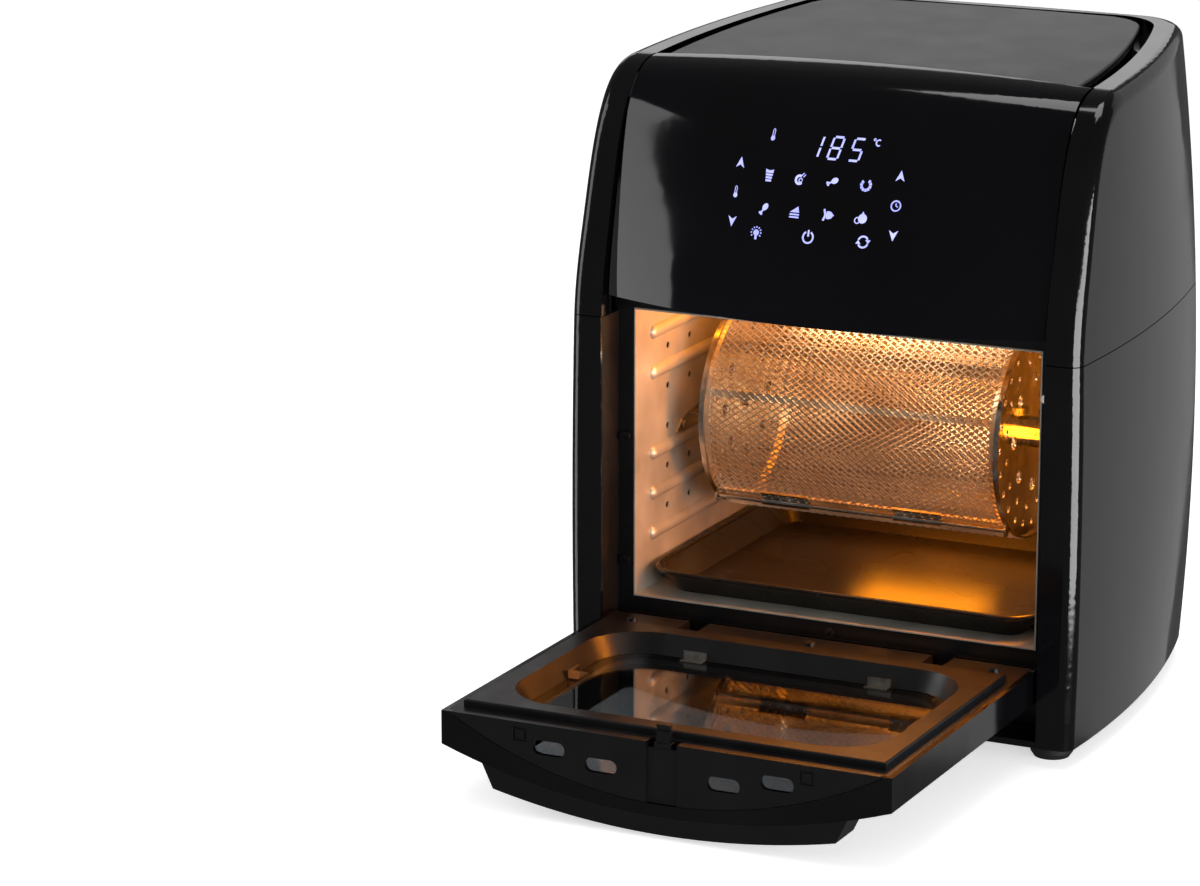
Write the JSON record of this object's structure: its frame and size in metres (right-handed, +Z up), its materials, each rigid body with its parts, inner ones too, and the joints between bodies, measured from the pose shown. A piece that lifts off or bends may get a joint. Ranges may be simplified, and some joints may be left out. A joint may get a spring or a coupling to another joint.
{
  "type": "rotisserie oven",
  "caption": "Countertop hot-air oven with a barrel-shaped black casing, bowed touch panel, drop-down glass door, motor-turned mesh basket with a hatch, drip tray and inset top cover.",
  "frame": {"origin": "middle of the casing's plan, on the surface the feet rest on", "axes": "+X to the oven's right as the user faces it, +Y to its back, +Z up"},
  "size_m": [0.3134, 0.4694, 0.3813],
  "materials": {
    "black_gloss": "high gloss black ABS",
    "black_satin": "fine satin black plastic",
    "panel_acrylic": "piano-black touch panel",
    "display": "dark display module with pale violet digits",
    "steel": "satin stainless sheet",
    "polished_steel": "polished stainless",
    "mesh_steel": "expanded stainless mesh",
    "tray_enamel": "dark non-stick coating",
    "galvanised": "zinc-plated sheet",
    "glass": "tempered clear glass",
    "smoked_glass": "smoked tempered glass",
    "rubber": "soft black rubber",
    "silicone": "dark silicone seal",
    "board": "green circuit board",
    "pom": "natural acetal",
    "laminate": "motor laminations and winding",
    "heater": "oxidised heater sheath",
    "ceramic": "white ceramic",
    "screw_steel": "zinc-plated screws"
  },
  "bodies": {
    "casing": {"housing_upper": "black_gloss", "housing_lower": "black_gloss", "top_cover": "black_satin", "control_panel": "panel_acrylic", "touch_board": "board", "digit_display": "display", "board_carrier": "black_satin", "front_bezel": "black_satin", "latch_spring": "screw_steel", "door_switch": "black_satin", "hinge_lugs": "black_satin", "hinge_pins": "polished_steel", "base_plate": "black_satin", "feet": "rubber", "casing_screws": "screw_steel", "cavity_liner": "steel", "lamp_glass": "glass", "lamp_bulb": "glass", "lamp_holder": "ceramic", "spit_bracket": "steel", "cavity_stands": "galvanised", "motor_can": "galvanised", "motor_plate": "galvanised", "heating_element": "heater", "heater_guard": "polished_steel", "heat_shield": "galvanised", "shield_spacers": "galvanised", "fan_motor": "laminate", "power_board": "board", "thermal_cutout": "ceramic", "temperature_probe": "polished_steel", "rear_grille": "black_satin", "cord_gland": "rubber"},
    "plunger": {"switch_plunger": "pom"},
    "door": {"door_skin": "black_gloss", "door_glass_outer": "smoked_glass", "door_frame": "black_satin", "latch_hook": "black_satin", "door_glass_inner": "glass", "glass_seal": "silicone", "glass_clips": "polished_steel", "door_handle": "black_satin", "ledge_screws": "screw_steel"},
    "spit": {"basket_drum": "mesh_steel", "hatch_rod": "polished_steel", "disc_left": "polished_steel", "disc_right": "polished_steel", "spit_shafts": "polished_steel", "hub_collars": "polished_steel", "hub_thumbscrews": "polished_steel", "drive_socket": "polished_steel", "output_gear": "pom"},
    "hatch": {"basket_hatch": "mesh_steel", "hatch_fittings": "polished_steel"},
    "rotor": {"rotor_pinion": "galvanised"},
    "tray": {"drip_tray": "tray_enamel"},
    "fan": {"fan_shaft": "polished_steel", "convection_fan": "steel", "cooling_fan": "galvanised"}
  },
  "joints": [
    {"name": "door_hinge", "type": "hinge", "parent": "casing", "child": "door", "pos_m": [0, -0.132, 0.0365], "axis": [-1, 0, 0], "range_deg": [0, 90]},
    {"name": "plunger_slide", "type": "slide", "parent": "casing", "child": "plunger", "axis": [0, 1, 0], "range_m": [0, 0.003]},
    {"name": "rotor_spin", "type": "hinge", "parent": "casing", "child": "rotor", "pos_m": [0.128, 0.0215, 0.1575], "axis": [1, 0, 0], "continuous": true},
    {"name": "spit_spin", "type": "hinge", "parent": "casing", "child": "spit", "pos_m": [0, -0.0085, 0.1575], "axis": [1, 0, 0], "continuous": true},
    {"name": "hatch_hinge", "type": "hinge", "parent": "spit", "child": "hatch", "pos_m": [0, -0.04753, 0.10754], "axis": [-1, 0, 0], "range_deg": [-90, 0]},
    {"name": "tray_slide", "type": "slide", "parent": "casing", "child": "tray", "axis": [0, 1, 0], "range_m": [-0.15, 0]},
    {"name": "fan_spin", "type": "hinge", "parent": "casing", "child": "fan", "pos_m": [0, -0.005, 0.266], "axis": [0, 0, 1], "continuous": true}
  ],
  "couplings": [
    {"joint": "spit_spin", "follows": "rotor_spin", "ratio": -0.25},
    {"joint": "plunger_slide", "follows": "door_hinge", "m_per_rad": 0.0019}
  ]
}
